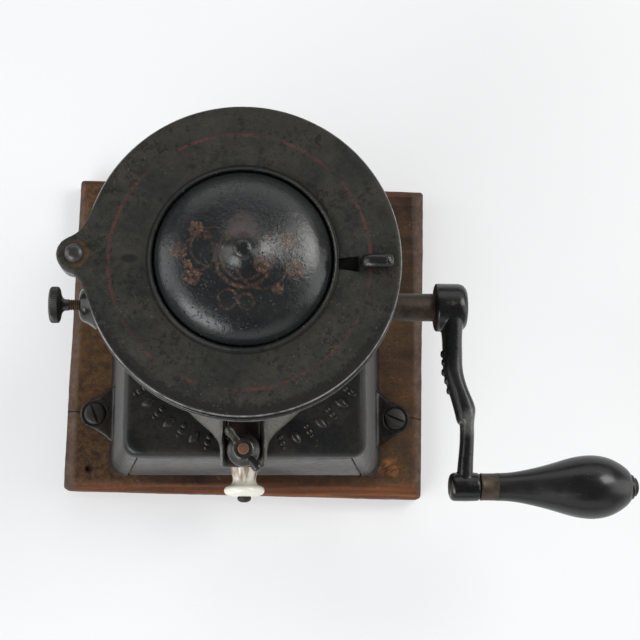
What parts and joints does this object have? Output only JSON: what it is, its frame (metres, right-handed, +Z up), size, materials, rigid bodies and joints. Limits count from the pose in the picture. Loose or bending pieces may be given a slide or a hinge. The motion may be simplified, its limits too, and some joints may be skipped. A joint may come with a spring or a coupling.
{
  "type": "coffee mill",
  "caption": "Hand-cranked cast-iron coffee mill: flared drawer box on a wooden board, round hopper with a pivoting domed lid, horizontal shaft with crank and turned grip, grind-setting screw.",
  "frame": {"origin": "underside of the wooden board, straight under the crossing of the shaft's axis and the hopper's axis", "axes": "+Z up, +X towards the crank and along the shaft, -Y towards the drawer and the front"},
  "size_m": [0.3262, 0.2203, 0.2502],
  "materials": {
    "board_wood": "old dark-stained hardwood, worn at its edges",
    "rusty_steel": "rusty bare steel",
    "black_iron": "black japanned cast iron, worn",
    "dark_iron": "bare iron, dark with age",
    "bush_metal": "bearing bronze",
    "brass_old": "brown aged brass",
    "tin": "tinned sheet steel",
    "porcelain": "white glaze, stained brown in the neck",
    "grip_wood": "turned hardwood, black lacquer"
  },
  "bodies": {
    "stand": {"base_board": "board_wood", "board_screw": "rusty_steel", "mill_box": "black_iron", "lug_screws": "dark_iron", "hopper_foot": "black_iron", "hopper_housing": "black_iron", "hopper_bowl": "black_iron", "hopper_rim": "black_iron", "hopper_stud": "rusty_steel", "lid_pivot": "dark_iron", "lid_pivot_nut": "dark_iron", "bearing_bush": "bush_metal", "ring_burr": "dark_iron", "ring_burr_screws": "dark_iron", "burr_spring": "rusty_steel"},
    "lid": {"lid": "black_iron"},
    "wing_nut": {"wing_nut": "dark_iron"},
    "thrust": {"thrust_button": "rusty_steel"},
    "setting_screw": {"thumb_screw": "dark_iron"},
    "shaft": {"crankshaft": "rusty_steel", "feed_worm": "dark_iron", "worm_pin": "dark_iron", "turning_burr": "dark_iron", "burr_pin": "dark_iron", "crank_arm": "black_iron", "crank_pin": "rusty_steel", "handle_pin": "dark_iron", "handle_washer": "dark_iron"},
    "grip": {"grip": "grip_wood", "ferrule": "brass_old"},
    "drawer": {"drawer_front": "black_iron", "drawer_tray": "tin", "drawer_rivets": "dark_iron", "porcelain_knob": "porcelain", "knob_screw": "dark_iron", "knob_nut": "dark_iron", "knob_washer": "dark_iron"}
  },
  "joints": [
    {"name": "lid_swing", "type": "hinge", "parent": "stand", "child": "lid", "pos_m": [-0.08, 0.0035, 0.227], "axis": [0, 0, 1], "range_deg": [0, 110]},
    {"name": "wing_nut_turn", "type": "hinge", "parent": "stand", "child": "wing_nut", "pos_m": [-0.0007, -0.075, 0.08], "axis": [0, 0, 1], "range_deg": [0, 360]},
    {"name": "grind_gap", "type": "slide", "parent": "stand", "child": "thrust", "axis": [1, 0, 0], "range_m": [-0.002, 0.0009], "deforming": ["burr_spring"]},
    {"name": "setting_turn", "type": "hinge", "parent": "thrust", "child": "setting_screw", "pos_m": [-0.085, 0, 0.124], "axis": [1, 0, 0], "range_deg": [-722, 326]},
    {"name": "crank_turn", "type": "hinge", "parent": "thrust", "child": "shaft", "pos_m": [0, 0, 0.124], "axis": [1, 0, 0], "continuous": true},
    {"name": "grip_spin", "type": "hinge", "parent": "shaft", "child": "grip", "pos_m": [0.175, -0.099, 0.124], "axis": [1, 0, 0], "continuous": true},
    {"name": "drawer_slide", "type": "slide", "parent": "stand", "child": "drawer", "axis": [0, -1, 0], "range_m": [0, 0.135]}
  ],
  "couplings": [
    {"joint": "setting_turn", "follows": "grind_gap", "rad_per_m": 6283.2}
  ]
}
